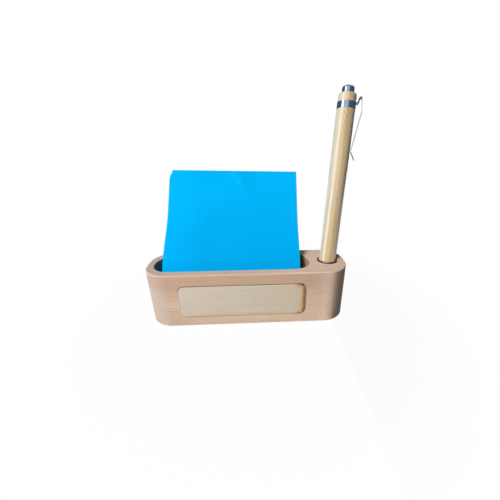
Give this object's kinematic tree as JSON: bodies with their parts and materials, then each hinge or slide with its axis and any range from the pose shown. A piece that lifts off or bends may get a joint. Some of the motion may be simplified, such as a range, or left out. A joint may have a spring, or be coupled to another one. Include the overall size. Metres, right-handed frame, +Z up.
{
  "type": "memo and pen holder",
  "caption": "Wooden desk block with a milled pocket for leaning memo slips, a bored hole for a click pen with a pocket clip, and a thin wooden name plate let into its front.",
  "frame": {"origin": "centre of the block's underside", "axes": "+X along the block from the memo pocket towards the pen hole, +Y from the name plate to the back, +Z up"},
  "size_m": [0.1377, 0.0651, 0.1403],
  "materials": {
    "beech": "fine-sanded, clear matt oil",
    "plate_wood": "matt veneer with scorched cut edges",
    "film": "adhesive film",
    "blue_paper": "matt dyed paper",
    "bamboo": "satin varnished bamboo",
    "chrome": "polished",
    "brass": "plain turned",
    "cam_plastic": "moulded",
    "refill_plastic": "extruded",
    "steel": "drawn"
  },
  "bodies": {
    "holder": {"holder_body": "beech", "nameplate_film": "film", "nameplate": "plate_wood"},
    "memo_pad": {"slip_stack": "blue_paper"},
    "top_slip": {"front_slip": "blue_paper"},
    "pen": {"nose_cone": "chrome", "nose_insert": "brass", "pen_barrel": "bamboo", "top_insert": "brass", "clip_ring": "chrome", "pen_collar": "bamboo", "cam_sleeve": "cam_plastic", "refill_spring": "steel"},
    "clip": {"pocket_clip": "chrome"},
    "button": {"push_button": "chrome", "cam_plunger": "cam_plastic"},
    "refill": {"cam_rotor": "cam_plastic", "refill_tube": "refill_plastic", "refill_tip": "brass", "writing_ball": "steel"}
  },
  "joints": [
    {"name": "pad_lift", "type": "slide", "parent": "holder", "child": "memo_pad", "axis": [0, 0.5762, 0.8173], "range_m": [0, 0.045]},
    {"name": "slip_lift", "type": "slide", "parent": "memo_pad", "child": "top_slip", "axis": [0, 0.5762, 0.8173], "range_m": [0, 0.06]},
    {"name": "pen_lift", "type": "slide", "parent": "holder", "child": "pen", "axis": [0.0948, 0.2348, 0.9674], "range_m": [0, 0.04]},
    {"name": "button_click", "type": "slide", "parent": "pen", "child": "button", "axis": [0.0948, 0.2348, 0.9674], "range_m": [0, 0.0045]},
    {"name": "refill_retract", "type": "slide", "parent": "pen", "child": "refill", "axis": [0.0948, 0.2348, 0.9674], "range_m": [0, 0.0045], "deforming": ["refill_spring"]},
    {"name": "clip_flex", "type": "hinge", "parent": "pen", "child": "clip", "pos_m": [0.06788, 0.02174, 0.13029], "axis": [-0.3298, -0.9095, 0.253], "range_deg": [0, 8], "stiffness_Nm_per_rad": 0.5}
  ],
  "couplings": [
    {"joint": "refill_retract", "follows": "button_click", "ratio": 1}
  ]
}
